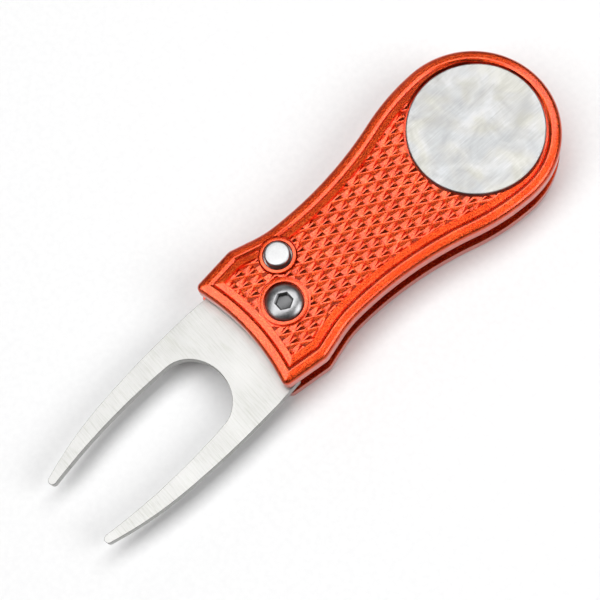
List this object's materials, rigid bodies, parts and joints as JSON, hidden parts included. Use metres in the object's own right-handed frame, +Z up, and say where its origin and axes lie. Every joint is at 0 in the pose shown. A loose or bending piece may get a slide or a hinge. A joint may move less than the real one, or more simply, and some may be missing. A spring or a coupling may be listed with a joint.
{
  "type": "divot repair tool",
  "caption": "Folding golf divot repair tool: round-headed two-part metal handle, swing-out steel fork with two tines, lock button and magnetic ball marker.",
  "frame": {"origin": "middle of the open tool's bounding box at its bottom, on the plane that the back rim lies on", "axes": "+Y towards the round head, +Z up out of the front face, +X to the side on which the fork swings"},
  "size_m": [0.0318, 0.1128, 0.0119],
  "materials": {
    "handle_paint": "orange-red metallic paint with a fine flake over die-cast zinc alloy",
    "fork_steel": "stainless steel brushed along the tines",
    "marker_steel": "stainless steel with fine crossing scratches",
    "pivot_steel": "satin turned steel",
    "button_steel": "bright turned steel",
    "pin_steel": "ground steel",
    "spring_steel": "drawn spring wire",
    "washer_bronze": "bronze, dull",
    "magnet_nickel": "nickel plated",
    "spacer_alloy": "dark machined alloy",
    "screw_steel": "plated steel"
  },
  "bodies": {
    "handle": {"front_scale": "handle_paint", "back_scale": "handle_paint", "pivot_screw": "pivot_steel", "pivot_barrel": "pivot_steel", "back_washer": "washer_bronze", "front_washer": "washer_bronze", "torsion_spring": "spring_steel", "button_spring": "spring_steel", "open_stop_pin": "pin_steel", "closed_stop_pin": "pin_steel", "marker_magnet": "magnet_nickel", "head_spacer": "spacer_alloy", "head_screws": "screw_steel"},
    "fork": {"fork": "fork_steel", "spring_pin": "pin_steel"},
    "button": {"lock_button": "button_steel", "lock_plunger": "pin_steel"},
    "marker": {"ball_marker": "marker_steel"}
  },
  "joints": [
    {"name": "fork_swing", "type": "hinge", "parent": "handle", "child": "fork", "pos_m": [0.0007, -0.0049, 0.0055], "axis": [0, 0, 1], "range_deg": [0, 176.56], "stiffness_Nm_per_rad": 0.004, "springref_deg": -17.19, "deforming": ["torsion_spring"]},
    {"name": "button_press", "type": "slide", "parent": "handle", "child": "button", "axis": [0, 0, -1], "range_m": [0, 0.0012], "stiffness_N_per_m": 300, "springref_m": -0.002, "deforming": ["button_spring"]},
    {"name": "marker_lift", "type": "slide", "parent": "handle", "child": "marker", "axis": [0, 0, 1], "range_m": [0, 0.02]}
  ]
}
